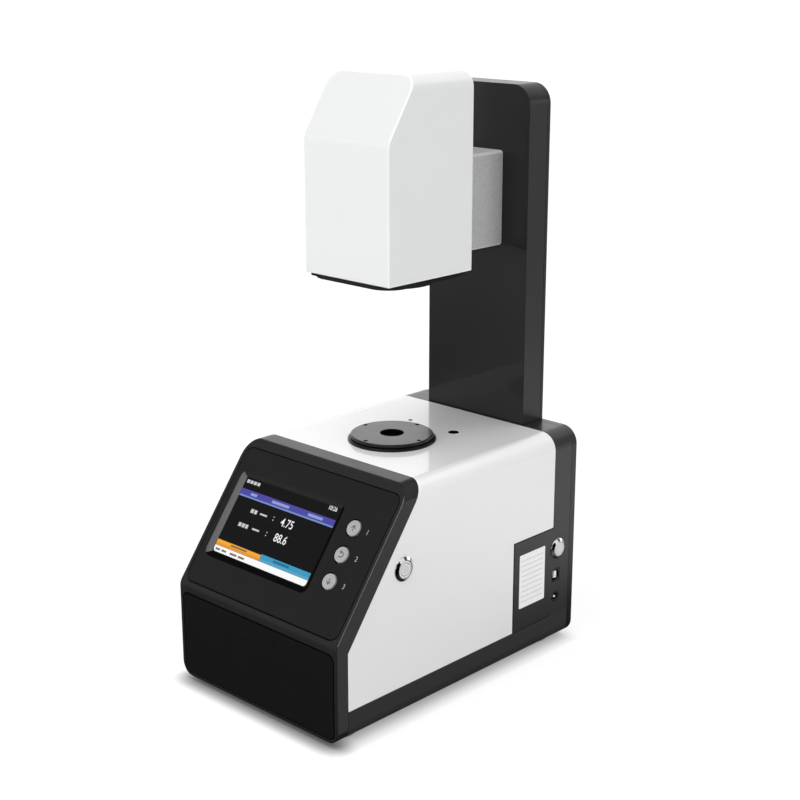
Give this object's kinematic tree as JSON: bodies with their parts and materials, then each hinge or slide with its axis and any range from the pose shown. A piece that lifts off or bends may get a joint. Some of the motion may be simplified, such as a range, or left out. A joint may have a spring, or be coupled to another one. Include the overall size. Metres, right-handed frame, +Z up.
{
  "type": "haze meter",
  "caption": "Bench-top haze meter: sloped-front base with screen, keys and sample port over an integrating sphere, and a lamp head on a rear column.",
  "frame": {"origin": "on the bench, under the middle of the base, in the plane of the feet's undersides", "axes": "+Z up, -Y out of the front with the screen, +X to the side with the push buttons and sockets"},
  "size_m": [0.2028, 0.31, 0.5336],
  "materials": {
    "chassis_black": "satin black enamel",
    "panel_black": "satin black",
    "front_gloss": "gloss black",
    "shell_white": "gloss white enamel",
    "screen_glass": "clear window over a dark screen",
    "display_frame": "display",
    "board_green": "circuit board",
    "part_black": "matt black",
    "key_grey": "satin grey",
    "socket_steel": "plated steel",
    "button_chrome": "polished",
    "button_cap": "fine blasted",
    "port_grey": "satin grey anodised",
    "sphere_alloy": "turned",
    "screw_steel": "plated",
    "foot_rubber": "rubber",
    "cast_grey": "blasted casting",
    "lens_glass": "clear",
    "lamp_board": "lamp on its board",
    "heat_sink": "black anodised",
    "label_white": "plain label"
  },
  "bodies": {
    "stand": {"base_frame": "chassis_black", "base_shell": "shell_white", "front_bezel": "chassis_black", "control_panel": "panel_black", "front_plate": "front_gloss", "screen_window": "screen_glass", "display_module": "display_frame", "key_board": "board_green", "key_switches": "part_black", "main_board": "board_green", "connector_board": "board_green", "usb_socket": "socket_steel", "power_jack": "part_black", "rating_label": "label_white", "power_button_body": "button_chrome", "power_button_nut": "button_chrome", "test_button_body": "button_chrome", "test_button_nut": "button_chrome", "port_ring": "part_black", "port_plate": "port_grey", "port_screws": "part_black", "compensation_tube": "part_black", "sphere_upper": "sphere_alloy", "sphere_lower": "sphere_alloy", "sphere_bolts": "screw_steel", "sphere_posts": "socket_steel", "detector_holder": "part_black", "photodetector": "socket_steel", "light_trap": "part_black", "feet": "foot_rubber", "foot_screws": "screw_steel", "cover_screws": "screw_steel", "bezel_screws": "screw_steel", "rear_cover": "chassis_black", "rear_screws": "screw_steel", "column": "chassis_black", "column_cover": "chassis_black", "column_screws": "screw_steel", "column_spine": "socket_steel", "cast_arm": "cast_grey", "arm_bolts": "screw_steel", "head_bolts": "screw_steel", "head_shell": "shell_white", "head_plate": "part_black", "head_plate_screws": "screw_steel", "lens_ring": "part_black", "collimator_lens": "lens_glass", "lens_barrel": "part_black", "aperture_stop": "part_black", "lamp_module": "lamp_board", "heat_sink": "heat_sink", "head_bracket": "socket_steel"},
    "key_up": {"key_up": "key_grey"},
    "key_return": {"key_return": "key_grey"},
    "key_down": {"key_down": "key_grey"},
    "test_button_cap": {"test_button_cap": "button_cap"},
    "power_button_cap": {"power_button_cap": "button_cap"}
  },
  "joints": [
    {"name": "key_up_press", "type": "slide", "parent": "stand", "child": "key_up", "axis": [0, 0.8013, -0.5982], "range_m": [0, 0.0006], "stiffness_N_per_m": 1500},
    {"name": "key_return_press", "type": "slide", "parent": "stand", "child": "key_return", "axis": [0, 0.8013, -0.5982], "range_m": [0, 0.0006], "stiffness_N_per_m": 1500},
    {"name": "key_down_press", "type": "slide", "parent": "stand", "child": "key_down", "axis": [0, 0.8013, -0.5982], "range_m": [0, 0.0006], "stiffness_N_per_m": 1500},
    {"name": "test_button_press", "type": "slide", "parent": "stand", "child": "test_button_cap", "axis": [-1, 0, 0], "range_m": [0, 0.0015], "stiffness_N_per_m": 1500},
    {"name": "power_button_press", "type": "slide", "parent": "stand", "child": "power_button_cap", "axis": [-1, 0, 0], "range_m": [0, 0.0025], "stiffness_N_per_m": 1200}
  ]
}
